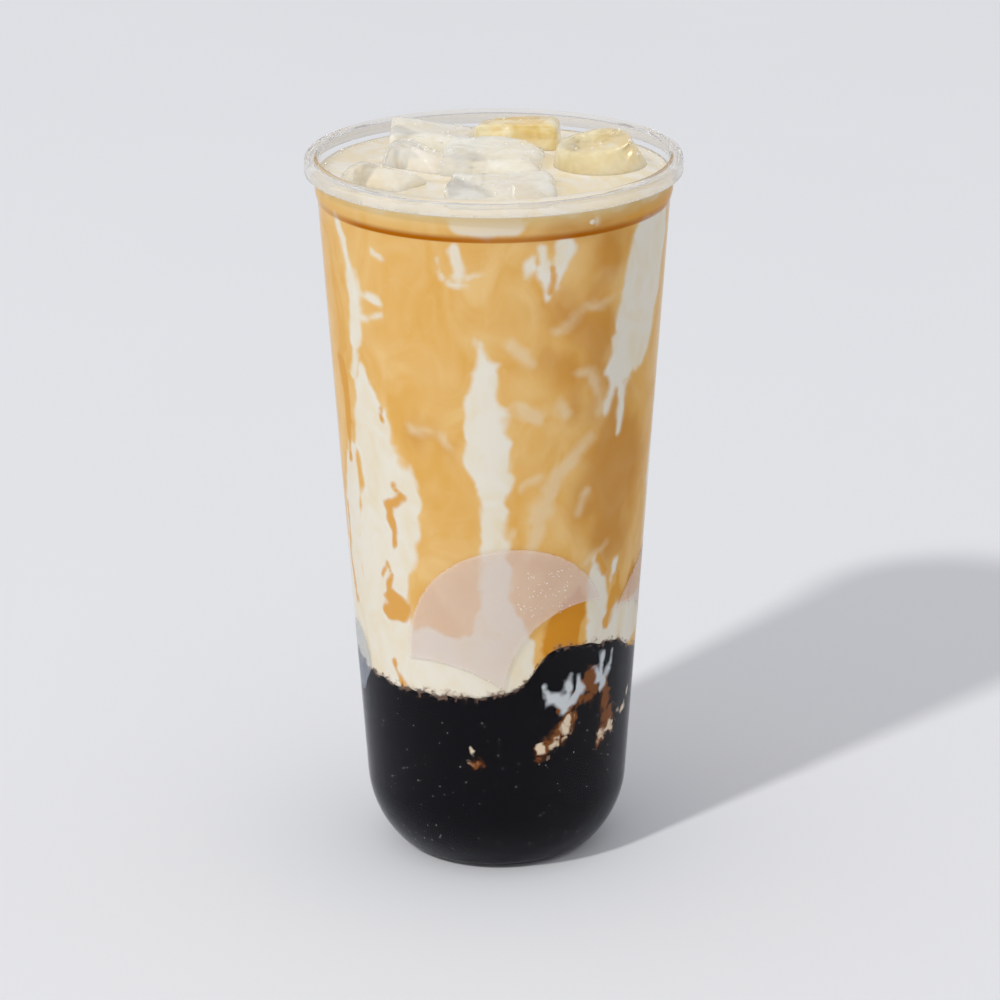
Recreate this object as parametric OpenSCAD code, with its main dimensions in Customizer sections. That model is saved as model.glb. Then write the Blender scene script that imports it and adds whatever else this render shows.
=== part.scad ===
// Bubble tea in a tall U-shaped cup: a clear moulded shell with a J-shaped lip and a
// stacking step, a soft dark layer at the foot with a lumpy top, milk tea up to just
// under the lip, and ice that stands a little way out of it.
// Origin: centre of the base, on the table. +Z is up and +X is to the right of the front.

/* [Cup] */
// Height from the table to the top of the lip
cup_h = 175; // [160:1:210]
// Outside diameter of the lip
lip_d = 90; // [86:0.5:110]
// Height of the lip's outer skirt
lip_h = 3.7; // [2.5:0.1:5]
// How far the lip stands out past the neck
lip_out = 2.3; // [1.8:0.1:4]
// Thickness of the lip's plastic
lip_t = 0.9; // [0.6:0.05:1.2]
// Height from the bottom of the stacking step to the top of the lip
neck_h = 10.3; // [8:0.1:16]
// Height of the stacking step's curve
step_h = 3.3; // [1:0.1:4.5]
// How far the wall steps in under the neck
step_in = 0.7; // [0.3:0.1:2]
// Slope of the body's wall from upright, in degrees
wall_slope = 3.87; // [1:0.01:6]
// Thickness of the wall
wall_t = 0.8; // [0.4:0.05:1.2]
// Thickness of the floor
floor_t = 1.6; // [1.3:0.1:3]

/* [Foot of the cup] */
// Radius of the small curve where the base meets the table
foot_r = 7.1; // [5:0.1:12]
// How far round the small curve goes, in degrees
foot_sweep = 47.3; // [30:0.1:60]
// Radius of the large curve that runs up into the wall
belly_r = 25.3; // [18:0.1:34]
// Radius of the recess under the base
recess_r = 14; // [8:0.5:17]
// Depth of the recess under the base
recess_h = 0.8; // [0.4:0.1:1]

/* [Filling] */
// Height of the lip above the milk tea
drink_below_lip = 4.5; // [4.2:0.1:8]
// Height of the dark layer between its lumps, from the table
dark_h = 48.5; // [35:0.5:60]
// Clearance between the filling and the wall
fill_gap = 0.05; // [0.02:0.01:0.2]
// Clearance between each piece of ice and the drink cut round it
ice_gap = 0.05; // [0.02:0.01:0.2]

/* [Ice blocks: width, depth, height] */
// Milky block at the back left
back_left_size = [18, 17, 21]; // [10:0.5:24]
// Milky block in the middle
middle_size = [18, 18, 21]; // [10:0.5:24]
// Block at the back, under the syrup
back_size = [20, 14, 19]; // [10:0.5:24]
// Clear block that leans over at the left
leaning_size = [18, 11, 16]; // [8:0.5:24]
// Broad block at the front
front_size = [26, 24, 20]; // [10:0.5:28]
// Radius of every block's edges
block_edge_r = 2; // [0.5:0.1:4]

/* [Round ice] */
// Radius of the barrel-shaped piece at the left
barrel_r = 8; // [6:0.1:9.5]
// Length of the barrel-shaped piece
barrel_len = 18; // [12:0.5:20]
// Radius of the top of the cone-shaped piece at the right
cone_top_r = 9.2; // [6:0.1:10]
// Radius of the foot of the cone-shaped piece
cone_foot_r = 12.8; // [10:0.1:14]
// Height of the cone-shaped piece
cone_h = 13; // [8:0.5:16]
// Radius of the ball that hollows the ends of the round ice
dimple_r = 7; // [5:0.1:8]
// Depth of that hollow
dimple_depth = 2.2; // [0.5:0.1:4]
// Radius of the rounded ends of the round ice
round_edge_r = 1.4; // [0.5:0.1:2.5]

/* [Hidden] */
$fn = 96;

arc_steps = 10;              // chords in each curve of the outline
lip_round = 0.8;             // outer top edge of the lip
lip_ease = 0.3;              // inner top edge of the lip
over = 1;                    // how far a cutter runs past what it cuts

neck_r = lip_d / 2 - lip_out;
step_z = cup_h - neck_h;
wall_top_r = neck_r - step_in;
drink_z = cup_h - drink_below_lip;

// The wall leans out from where the large curve ends
curve_end = 90 - wall_slope;
curve_end_z = foot_r * (1 - cos(foot_sweep)) + belly_r * (cos(foot_sweep) - cos(curve_end));
curve_end_r = wall_top_r - (step_z - curve_end_z) * tan(wall_slope);
base_r = curve_end_r - foot_r * sin(foot_sweep) - belly_r * (sin(curve_end) - sin(foot_sweep));
belly_c = [base_r + (foot_r - belly_r) * sin(foot_sweep),
           foot_r - (foot_r - belly_r) * cos(foot_sweep)];

// Lumps of the dark layer: angle from the front, distance from the axis, top above dark_h, radius
dark_lumps = [
    [32, 21, 12.5, 15], [52, 25, 10, 13], [8, 26, 3, 14], [-32, 24, 0.8, 18],
    [100, 22, 5, 15], [150, 20, 2.5, 20], [205, 22, 4, 16], [260, 24, 3, 14]
];

// Place of each block's centre, measured from the drink's surface, and its turn
back_left_at = [-16.8, 21.9, -5.2];
back_left_turn = [0, 8, 2];
middle_at = [2.9, 2, -6.1];
middle_turn = [3, 2, -4];
back_at = [6.4, 24.6, -3.4];
back_turn = [-2, -3, -6];
leaning_at = [-17.8, 3.4, -3.6];
leaning_turn = [-14, 17, -38];
front_at = [1.6, -21.8, -7.4];
front_turn = [1, 1, 2];
// Middle of the barrel's axis, its turn about Z and its tilt
barrel_at = [-26, -11, -4.3];
barrel_turn = -41;
barrel_tilt = 2;
// Middle of the cone's top, and how its axis leans
cone_at = [23.6, 3.8, 6.6];
cone_turn = [4, -9, 0];

// Right half of the shell's outline from the base up to the lip, moved inwards
function side(inset) = concat(
    [for (i = [0:arc_steps]) let (a = foot_sweep * i / arc_steps)
        [base_r + (foot_r - inset) * sin(a), foot_r - (foot_r - inset) * cos(a)]],
    [for (i = [1:arc_steps]) let (a = foot_sweep + (curve_end - foot_sweep) * i / arc_steps)
        belly_c + (belly_r - inset) * [sin(a), -cos(a)]],
    [for (i = [0:arc_steps]) let (t = i / arc_steps)
        [wall_top_r + step_in * sin(90 * t) - inset, step_z + step_h * t]]);

// Outer top edge of the lip, from the skirt up to the flat
function lip_curve() = [for (i = [0:arc_steps]) let (a = 90 * i / arc_steps)
    [lip_d / 2 - lip_round * (1 - cos(a)), cup_h - lip_round * (1 - sin(a))]];

// What the wall, the floor and the level z_top enclose, kept clear of them by a gap
module inside(gap, z_top) {
    rotate_extrude()
        intersection() {
            polygon(concat([[0, 0]], side(wall_t + gap),
                           [[neck_r - wall_t - gap, cup_h + over], [0, cup_h + over]]));
            translate([0, floor_t + gap])
                square([lip_d / 2, z_top - floor_t - gap]);
        }
}

module cup() {
    color([0.93, 0.94, 0.94, 0.35])
        difference() {
            rotate_extrude()
                polygon(concat(
                    [[0, recess_h], [recess_r, recess_h], [recess_r + recess_h, 0]],
                    side(0),
                    [[neck_r, cup_h - lip_t],
                     [lip_d / 2 - lip_t, cup_h - lip_t],
                     [lip_d / 2 - lip_t, cup_h - lip_h],
                     [lip_d / 2, cup_h - lip_h]],
                    lip_curve(),
                    [[neck_r - wall_t + lip_ease, cup_h], [0, cup_h]]));
            inside(0, cup_h + over);
            translate([0, 0, cup_h - lip_ease])
                cylinder(h = lip_ease, r1 = neck_r - wall_t, r2 = neck_r - wall_t + lip_ease);
        }
}

// Everything below the dark layer's lumpy top
module below_dark_top() {
    translate([0, 0, -over])
        cylinder(h = dark_h + over, r = lip_d);
    for (lump = dark_lumps)
        rotate([0, 0, lump[0]])
            translate([0, -lump[1], dark_h + lump[2] - lump[3]])
                sphere(r = lump[3]);
}

module dark_layer() {
    color([0.08, 0.07, 0.08])
        intersection() {
            inside(fill_gap, drink_z);
            below_dark_top();
        }
}

module milk_tea() {
    color([0.86, 0.68, 0.40])
        difference() {
            inside(fill_gap, drink_z);
            below_dark_top();
            all_ice(ice_gap);
        }
}

// Rectangle with round corners, centred
module round_rectangle(width, depth, r) {
    square([width - 2 * r, depth], center = true);
    square([width, depth - 2 * r], center = true);
    for (x = [-1, 1], y = [-1, 1])
        translate([x * (width / 2 - r), y * (depth / 2 - r)])
            circle(r = r);
}

// Block of ice, its edges rounded by three crossing prisms
module block(size, at, turn, grow) {
    w = size[0] + 2 * grow;
    d = size[1] + 2 * grow;
    h = size[2] + 2 * grow;
    r = block_edge_r + grow;
    translate(at + [0, 0, drink_z])
        rotate(turn)
            intersection() {
                linear_extrude(height = h, center = true)
                    round_rectangle(w, d, r);
                rotate([90, 0, 0])
                    linear_extrude(height = d, center = true)
                        round_rectangle(w, h, r);
                rotate([90, 0, 90])
                    linear_extrude(height = w, center = true)
                        round_rectangle(d, h, r);
            }
}

// Turned piece of ice: both ends eased, the upper end hollowed
module turned_ice(foot_r, top_r, height, grow) {
    e = round_edge_r;
    difference() {
        rotate_extrude()
            polygon(concat(
                [[0, -grow]],
                [for (i = [0:4]) let (a = 90 * i / 4)
                    [foot_r + grow - e + e * sin(a), -grow + e - e * cos(a)]],
                [for (i = [0:4]) let (a = 90 * i / 4)
                    [top_r + grow - e + e * cos(a), height + grow - e + e * sin(a)]],
                [[0, height + grow]]));
        translate([0, 0, height - dimple_depth + dimple_r])
            sphere(r = dimple_r - grow);
    }
}

module barrel(grow) {
    translate(barrel_at + [0, 0, drink_z])
        rotate([0, 0, barrel_turn])
            rotate([0, 90 + barrel_tilt, 0])
                translate([0, 0, -barrel_len / 2])
                    turned_ice(barrel_r, barrel_r, barrel_len, grow);
}

module cone(grow) {
    translate(cone_at + [0, 0, drink_z])
        rotate(cone_turn)
            translate([0, 0, -cone_h])
                turned_ice(cone_foot_r, cone_top_r, cone_h, grow);
}

// Every piece of ice, grown on all sides
module all_ice(grow) {
    block(back_left_size, back_left_at, back_left_turn, grow);
    block(middle_size, middle_at, middle_turn, grow);
    block(back_size, back_at, back_turn, grow);
    block(leaning_size, leaning_at, leaning_turn, grow);
    block(front_size, front_at, front_turn, grow);
    barrel(grow);
    cone(grow);
}

module ice_back_left() {
    color([0.92, 0.91, 0.84])
        block(back_left_size, back_left_at, back_left_turn, 0);
}

module ice_middle() {
    color([0.91, 0.90, 0.83])
        block(middle_size, middle_at, middle_turn, 0);
}

module ice_back() {
    color([0.92, 0.84, 0.66])
        block(back_size, back_at, back_turn, 0);
}

module ice_leaning() {
    color([0.90, 0.91, 0.88])
        block(leaning_size, leaning_at, leaning_turn, 0);
}

module ice_front() {
    color([0.93, 0.91, 0.86])
        block(front_size, front_at, front_turn, 0);
}

module ice_barrel() {
    color([0.85, 0.80, 0.70])
        barrel(0);
}

module ice_cone() {
    color([0.90, 0.87, 0.79])
        cone(0);
}

cup();
dark_layer();
milk_tea();
ice_back_left();
ice_middle();
ice_back();
ice_leaning();
ice_front();
ice_barrel();
ice_cone();
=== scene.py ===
"""Bubble tea in a tall U-shaped clear cup: black jelly at the foot, marbled milk tea and ice."""

import math

import bpy
import numpy as np
from mathutils import Euler, Matrix, Vector, noise
from mathutils.bvhtree import BVHTree


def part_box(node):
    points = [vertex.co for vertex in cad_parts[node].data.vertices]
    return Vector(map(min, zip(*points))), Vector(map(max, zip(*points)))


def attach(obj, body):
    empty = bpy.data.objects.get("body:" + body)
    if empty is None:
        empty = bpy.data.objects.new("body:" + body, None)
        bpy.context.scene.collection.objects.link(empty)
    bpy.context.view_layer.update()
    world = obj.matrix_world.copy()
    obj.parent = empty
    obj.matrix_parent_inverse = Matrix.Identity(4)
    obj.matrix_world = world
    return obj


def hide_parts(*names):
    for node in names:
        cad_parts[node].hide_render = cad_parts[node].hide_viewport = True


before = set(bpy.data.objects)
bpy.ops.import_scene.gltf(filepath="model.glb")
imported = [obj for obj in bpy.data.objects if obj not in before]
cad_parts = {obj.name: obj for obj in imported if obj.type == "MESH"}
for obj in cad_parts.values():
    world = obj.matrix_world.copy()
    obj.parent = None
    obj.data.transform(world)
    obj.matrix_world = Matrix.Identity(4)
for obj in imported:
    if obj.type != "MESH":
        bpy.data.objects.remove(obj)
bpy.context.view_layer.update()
scene = bpy.context.scene
MM = 0.001

# ----------------------------------------
# Studio: a seamless pale board, one small softbox at the front left that throws the long
# shadow, and even light from all round.
# ----------------------------------------
cup_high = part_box("cup")[1]
cup_middle = Vector((0, 0, cup_high.z / 2))

camera_distance = 1.0
camera_elevation = math.radians(19.32)
camera_roll = math.radians(0.29)
camera_data = bpy.data.cameras.new("camera")
camera_data.lens = 147.3
camera_data.shift_x = 0.0045
camera_data.shift_y = 0.001
camera = bpy.data.objects.new("camera", camera_data)
scene.collection.objects.link(camera)
towards_camera = Vector((0, -math.cos(camera_elevation), math.sin(camera_elevation)))
level_view = towards_camera.to_track_quat("Z", "Y").to_matrix().to_4x4()
camera.matrix_world = (
    Matrix.Translation(cup_middle + towards_camera * camera_distance)
    @ level_view
    @ Matrix.Rotation(-camera_roll, 4, "Z")
)
scene.camera = camera
scene.view_settings.view_transform = "Standard"

softbox_turn = math.radians(-41)
softbox_rise = math.radians(40.5)
softbox_distance = 8.0
softbox = bpy.data.lights.new("key_softbox", "AREA")
softbox.shape = "DISK"
softbox.size = 0.5
softbox.energy = 303
softbox.color = (1.0, 0.985, 0.96)
softbox_lamp = bpy.data.objects.new("key_softbox", softbox)
towards_lamp = Vector((
    math.sin(softbox_turn) * math.cos(softbox_rise),
    -math.cos(softbox_turn) * math.cos(softbox_rise),
    math.sin(softbox_rise),
))
softbox_lamp.matrix_world = (
    Matrix.Translation(cup_middle + towards_lamp * softbox_distance)
    @ towards_lamp.to_track_quat("Z", "Y").to_matrix().to_4x4()
)
scene.collection.objects.link(softbox_lamp)


def linear(hex_colour):
    """Linear RGBA from an sRGB hex colour."""
    parts = [int(hex_colour[i:i + 2], 16) / 255 for i in (1, 3, 5)]
    return [p / 12.92 if p <= 0.04045 else ((p + 0.055) / 1.055) ** 2.4 for p in parts] + [1.0]


def add(tree, kind, feeds=None, **settings):
    """Adds one node with its settings; feeds maps an input to a value or to another node's output."""
    made = tree.nodes.new(kind)
    for setting, value in settings.items():
        setattr(made, setting, value)
    for socket, value in (feeds or {}).items():
        if isinstance(value, bpy.types.NodeSocket):
            tree.links.new(value, made.inputs[socket])
        else:
            made.inputs[socket].default_value = value
    return made


def new_finish(name):
    """Empty material, its node tree and the piece's own coordinates, in metres."""
    finish = bpy.data.materials.new(name)
    finish.use_nodes = True
    tree = finish.node_tree
    tree.nodes.clear()
    return finish, tree, add(tree, "ShaderNodeTexCoord").outputs["Object"]


def mottled(tree, spot, scale, detail, first_hex, second_hex):
    """Two close colours that run into each other in soft uneven patches."""
    patches = add(tree, "ShaderNodeTexNoise", {"Vector": spot, "Scale": scale, "Detail": detail})
    return add(tree, "ShaderNodeMix",
               {0: patches.outputs["Fac"], 6: linear(first_hex), 7: linear(second_hex)},
               data_type="RGBA").outputs[2]


def new_piece(name, points, faces):
    """Smooth shaded mesh object, with its place in its mesh."""
    mesh = bpy.data.meshes.new(name)
    mesh.from_pydata(points, [], faces)
    mesh.shade_smooth()
    piece = bpy.data.objects.new(name, mesh)
    scene.collection.objects.link(piece)
    return piece


world = bpy.data.worlds.new("even_room_light")
scene.world = world
world.use_nodes = True
room = world.node_tree
room.nodes.clear()
sky = add(room, "ShaderNodeBackground", {"Color": linear("#fafaff"), "Strength": 0.68})
add(room, "ShaderNodeOutputWorld", {"Surface": sky.outputs[0]})

# Matt painted board: an even pale grey with a faint cloudiness from the roller.
board_finish, tree, spot = new_finish("matt_painted_board")
board_tone = mottled(tree, spot, 6.0, 3.0, "#e6e8ea", "#e9ebed")
board = add(tree, "ShaderNodeBsdfPrincipled",
            {"Base Color": board_tone, "Roughness": 0.8, "Specular IOR Level": 0.1})
add(tree, "ShaderNodeOutputMaterial", {"Surface": board.outputs[0]})

board_reach = 4.0
board_corners = [(board_reach * x, board_reach * y, 0)
                 for x, y in ((-1, -1), (1, -1), (1, 1), (-1, 1))]
floor = new_piece("board", board_corners, [(0, 1, 2, 3)])
floor.data.materials.append(board_finish)

# ----------------------------------------
# Cup: one thin shell of clear polypropylene, injection moulded, with a round foot, a
# stacking step under the neck and a J-shaped lip, which is thicker and looks cloudier.
# ----------------------------------------
cup_h = cup_high.z / MM
lip_r = cup_high.x / MM
lip_h = 3.7
lip_out = 2.3
lip_t = 0.9
lip_round = 0.8
lip_ease = 0.3
lip_corner = 0.3
skirt_corner = 0.15
corner_run = 1.2
neck_h = 10.3
step_h = 3.3
step_in = 0.7
wall_slope = math.radians(3.87)
wall_t = 0.8
floor_t = 1.6
foot_r = 7.1
foot_sweep = math.radians(47.3)
belly_r = 25.3
recess_r = 14
recess_h = 0.8

neck_r = lip_r - lip_out
step_z = cup_h - neck_h
wall_top_r = neck_r - step_in
curve_end = math.pi / 2 - wall_slope
curve_end_z = (foot_r * (1 - math.cos(foot_sweep))
               + belly_r * (math.cos(foot_sweep) - math.cos(curve_end)))
curve_end_r = wall_top_r - (step_z - curve_end_z) * math.tan(wall_slope)
base_r = (curve_end_r - foot_r * math.sin(foot_sweep)
          - belly_r * (math.sin(curve_end) - math.sin(foot_sweep)))
belly_r_at = base_r + (foot_r - belly_r) * math.sin(foot_sweep)
belly_z_at = foot_r - (foot_r - belly_r) * math.cos(foot_sweep)


def wall_line(inset):
    """(radius, height) of the cup's outside from the foot to above the step, moved in by inset."""
    foot = np.linspace(0, foot_sweep, 14)
    belly = np.linspace(foot_sweep, curve_end, 34)[1:]
    wall = np.linspace(0, 1, 44)[1:-1]
    step = np.linspace(0, 1, 12)
    foot_line = np.stack([base_r + (foot_r - inset) * np.sin(foot),
                          foot_r - (foot_r - inset) * np.cos(foot)], 1)
    belly_line = np.stack([belly_r_at + (belly_r - inset) * np.sin(belly),
                           belly_z_at - (belly_r - inset) * np.cos(belly)], 1)
    step_line = np.stack([wall_top_r + step_in * np.sin(step * math.pi / 2) - inset,
                          step_z + step_h * step], 1)
    wall_run = belly_line[-1] + wall[:, None] * (step_line[0] - belly_line[-1])
    return np.concatenate([foot_line, belly_line, wall_run, step_line])


def round_the_axis(profile, columns):
    """Rings of points, in metres, from (radius, height) pairs; angle 0 is the front (-Y)."""
    turn = np.linspace(0, 2 * math.pi, columns, endpoint=False)
    rings = np.empty((len(profile), columns, 3))
    rings[:, :, 0] = profile[:, :1] * np.sin(turn)
    rings[:, :, 1] = -profile[:, :1] * np.cos(turn)
    rings[:, :, 2] = profile[:, 1:]
    return rings * MM


def skin(name, rings, first_pole, last_pole):
    """Closed smooth mesh through rings of points, fanned to a pole at each end."""
    rows, columns = rings.shape[:2]
    points = np.vstack([[first_pole], rings.reshape(-1, 3), [last_pole]])
    row = np.arange(rows - 1)[:, None] * columns + 1
    here = np.arange(columns)
    after = (here + 1) % columns
    quads = np.stack([row + here, row + after, row + columns + after, row + columns + here], -1)
    top = (rows - 1) * columns + 1
    faces = quads.reshape(-1, 4).tolist()
    faces += [(0, 1 + int(b), 1 + int(a)) for a, b in zip(here, after)]
    faces += [(len(points) - 1, int(top + a), int(top + b)) for a, b in zip(here, after)]
    return new_piece(name, points, faces)


lip_turns = np.linspace(0, math.pi / 2, 8)
lip_curve = np.stack([lip_r - lip_round * (1 - np.cos(lip_turns)),
                      cup_h - lip_round * (1 - np.sin(lip_turns))], 1)
inner_line = wall_line(wall_t)
inner_line = inner_line[inner_line[:, 1] > floor_t][::-1]
foot_corner = 0.5
shell_line = np.concatenate([
    [[recess_r * 0.5, recess_h], [recess_r - foot_corner, recess_h], [recess_r, recess_h]],
    [[recess_r + recess_h, 0], [recess_r + recess_h + foot_corner, 0]],
    wall_line(0),
    [[neck_r, cup_h - lip_t - corner_run], [neck_r, cup_h - lip_t - lip_corner]],
    [[neck_r + lip_corner, cup_h - lip_t], [lip_r - lip_t - lip_corner, cup_h - lip_t]],
    [[lip_r - lip_t, cup_h - lip_t - lip_corner], [lip_r - lip_t, cup_h - lip_h + skirt_corner]],
    [[lip_r - lip_t + skirt_corner, cup_h - lip_h], [lip_r - skirt_corner, cup_h - lip_h]],
    [[lip_r, cup_h - lip_h + skirt_corner], [lip_r, cup_h - lip_h + corner_run]],
    lip_curve,
    [[neck_r - wall_t + lip_ease + 0.2, cup_h], [neck_r - wall_t + 0.1, cup_h - 0.1]],
    [[neck_r - wall_t, cup_h - lip_ease], [neck_r - wall_t, cup_h - 2]],
    inner_line,
    [[inner_line[-1, 0] - 0.6, floor_t], [inner_line[-1, 0] * 0.5, floor_t]],
])
shell = skin("cup_shell", round_the_axis(shell_line, 256),
             (0, 0, recess_h * MM), (0, 0, floor_t * MM))


def let_light_through(tree, surface, tint):
    """Finishes a clear material: lamp light and scattered light cross it unbent, in a tint."""
    path = add(tree, "ShaderNodeLightPath").outputs
    clear = add(tree, "ShaderNodeBsdfTransparent", {"Color": linear(tint)}).outputs[0]
    lamps = add(tree, "ShaderNodeMixShader", {0: path["Is Shadow Ray"], 1: surface, 2: clear})
    scattered = add(tree, "ShaderNodeMixShader",
                    {0: path["Is Diffuse Ray"], 1: lamps.outputs[0], 2: clear})
    add(tree, "ShaderNodeOutputMaterial", {"Surface": scattered.outputs[0]})


# Clear polypropylene, injection moulded: thin, glossy and a little hazy. Light crosses it to
# the drink behind, which is lit as in a thin cup.
clear_pp, tree, spot = new_finish("clear_moulded_polypropylene")
haze = add(tree, "ShaderNodeTexNoise", {"Vector": spot, "Scale": 25.0, "Detail": 1.0})
haze_roughness = add(tree, "ShaderNodeMapRange",
                     {"Value": haze.outputs["Fac"], "To Min": 0.1, "To Max": 0.14})
plastic = add(tree, "ShaderNodeBsdfPrincipled", {
    "Base Color": linear("#fdfdfd"),
    "Roughness": haze_roughness.outputs[0],
    "IOR": 1.09,
    "Transmission Weight": 1.0,
})
let_light_through(tree, plastic.outputs[0], "#fafafa")

# The lip is the same plastic turned down on itself, so the eye looks through more of it and
# it reads milky.
cloudy_pp, tree, spot = new_finish("cloudy_moulded_polypropylene")
haze = add(tree, "ShaderNodeTexNoise", {"Vector": spot, "Scale": 70.0, "Detail": 1.0})
milkiness = add(tree, "ShaderNodeMapRange",
                {"Value": haze.outputs["Fac"], "To Min": 0.8, "To Max": 0.9})
plastic = add(tree, "ShaderNodeBsdfPrincipled", {
    "Base Color": linear("#fbf8f2"),
    "Roughness": 0.13,
    "IOR": 1.14,
    "Transmission Weight": milkiness.outputs[0],
})
let_light_through(tree, plastic.outputs[0], "#ececec")

# The same plastic at the foot's edge, where all that shows through it is the black layer.
foot_pp, tree, spot = new_finish("moulded_polypropylene_over_black")
dark_tone = mottled(tree, spot, 90.0, 1.0, "#232327", "#323237")
plastic = add(tree, "ShaderNodeBsdfPrincipled",
              {"Base Color": dark_tone, "Roughness": 0.3, "IOR": 1.2})
add(tree, "ShaderNodeOutputMaterial", {"Surface": plastic.outputs[0]})

for finish in (clear_pp, cloudy_pp, foot_pp):
    shell.data.materials.append(finish)
lip_floor = cup_h - lip_h - 0.2
foot_edge_h = 1.5
for face in shell.data.polygons:
    height = face.center.z / MM
    radius = face.center.to_2d().length / MM
    if height > lip_floor and radius > neck_r - 0.1:
        face.material_index = 1
    elif height < foot_edge_h and radius > recess_r:
        face.material_index = 2
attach(shell, "root")
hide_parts("cup")

# ----------------------------------------
# Print: three plain discs of thin pale ink, screen printed on the outside of the wall. Each
# has round bites taken out of it, where the next disc would be or over the black layer.
# ----------------------------------------
outer_line = wall_line(0)
unrolled_r = 40
ink_t = 0.04
ink_off = 0.01
ink_cell = 0.6


def wall_place(across, height, stand_off):
    """Points in metres on the wall, from mm round it as if unrolled, and mm up it."""
    turn = across / unrolled_r
    radius = np.interp(height, outer_line[:, 1], outer_line[:, 0]) + stand_off
    return np.stack([radius * np.sin(turn), -radius * np.cos(turn), height], -1) * MM


def ink_disc(name, centre, disc_r, cuts, finish):
    """One printed disc less round bites; centres are (degrees, mm up). Its grid of cells is
    drawn to the discs' edges, given a thickness and closed round the rim."""
    rounds = [(np.array([math.radians(a) * unrolled_r, z]), r, way)
              for (a, z), r, way in [(centre, disc_r, 1)] + [(c, r, -1) for c, r in cuts]]
    steps = np.arange(-disc_r - 2, disc_r + 2, ink_cell)
    middle = rounds[0][0]
    grid = np.stack(np.meshgrid(middle[0] + steps, middle[1] + steps, indexing="ij"), -1)

    def gaps_outside(points):
        return [way * (np.linalg.norm(points - hub, axis=-1) - r) for hub, r, way in rounds]

    for _ in range(2):
        gaps = gaps_outside(grid)
        edge_near = np.max(gaps, axis=0) < ink_cell
        for gap, (hub, _, way) in zip(gaps, rounds):
            near = (np.abs(gap) < 0.6 * ink_cell) & edge_near
            spoke = grid - hub
            spoke /= np.linalg.norm(spoke, axis=-1, keepdims=True)
            grid = np.where(near[..., None], grid - way * spoke * gap[..., None], grid)
    kept = np.max(gaps_outside(grid), axis=0) < 0.06
    count = len(steps)
    flat = grid.reshape(-1, 2)
    low = wall_place(flat[:, 0], flat[:, 1], ink_off)
    high = wall_place(flat[:, 0], flat[:, 1], ink_off + ink_t)
    whole = kept[:-1, :-1] & kept[1:, :-1] & kept[1:, 1:] & kept[:-1, 1:]
    faces = []
    edges = {}
    shift = len(flat)
    for i, j in np.argwhere(whole):
        corner = [int(k) for k in (i * count + j, (i + 1) * count + j,
                                   (i + 1) * count + j + 1, i * count + j + 1)]
        faces.append([k + shift for k in corner])
        faces.append(corner[::-1])
        for a, b in zip(corner, corner[1:] + corner[:1]):
            if (b, a) in edges:
                del edges[b, a]
            else:
                edges[a, b] = True
    faces += [(a, b, b + shift, a + shift) for a, b in edges]
    points = np.vstack([low, high])
    used = sorted({k for face in faces for k in face})
    number = {k: place for place, k in enumerate(used)}
    piece = new_piece(name, points[used], [[number[k] for k in face] for face in faces])
    piece.data.materials.append(finish)
    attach(piece, "root")


def thin_ink(name, dark_hex, light_hex, cover):
    """Screen ink so thin that the drink shows through it, with the screen's faint mottling."""
    finish, tree, spot = new_finish(name)
    tone = mottled(tree, spot, 900.0, 2.0, dark_hex, light_hex)
    ink = add(tree, "ShaderNodeBsdfPrincipled",
              {"Base Color": tone, "Roughness": 0.5, "Specular IOR Level": 0.1, "Alpha": cover})
    add(tree, "ShaderNodeOutputMaterial", {"Surface": ink.outputs[0]})
    return finish


pink_ink = thin_ink("thin_pink_screen_ink", "#efddd5", "#f3e5df", 0.26)
grey_ink = thin_ink("thin_blue_grey_screen_ink", "#c4ccda", "#ccd3de", 0.22)
low_disc = ((-28, 20), 38.0)
ink_disc("print_disc_front", (6, 58), 30.0, [((36, 49), 23.0), low_disc], pink_ink)
ink_disc("print_disc_right", (88, 49), 29.0, [((62, 48), 19.0), ((108, 15), 42.0)], pink_ink)
ink_disc("print_disc_left", (-76, 51), 9.0, [low_disc], grey_ink)

# ----------------------------------------
# Ice: seven pieces of machine ice, half melted. Five are blocks with rounded edges and two
# are turned pieces with hollow ends. They float in the tea and stand a little way out of it.
# ----------------------------------------
drink_z = cup_h - 4.5
block_edge_r = 1.5
most_rounding = 3.6
block_melt = 1.08
turned_melt = 0.66

# The melt's noise takes its offsets from the clock unless it is given a seed.
noise.seed_set(5)


def melted(points, seed, depth, size):
    """Points moved by a smooth uneven melt, depth deep, with hollows about size across, in mm."""
    moved = []
    for x, y, z in points:
        place = Vector((x, y, z)) / size + Vector((seed * 7.3, seed * 3.1, seed * 5.7))
        push = noise.noise_vector(place) + 0.1 * noise.noise_vector(place * 2.7)
        moved.append((x + depth * push.x, y + depth * push.y, z + depth * push.z))
    return np.array(moved)


def placed(points, at, turn):
    """Points in metres, turned by degrees about their origin and put at a place over the tea."""
    spin = Euler([math.radians(t) for t in turn], "XYZ").to_matrix()
    return (points @ np.array(spin).T + np.array(at) + [0, 0, drink_z]) * MM


def ice_piece(name, points, faces, node_name, finish):
    """Smooth closed piece of ice that stands for its CAD node."""
    piece = new_piece(name, points, faces)
    piece.data.materials.append(finish)
    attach(piece, "root")
    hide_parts(node_name)
    return piece


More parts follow.
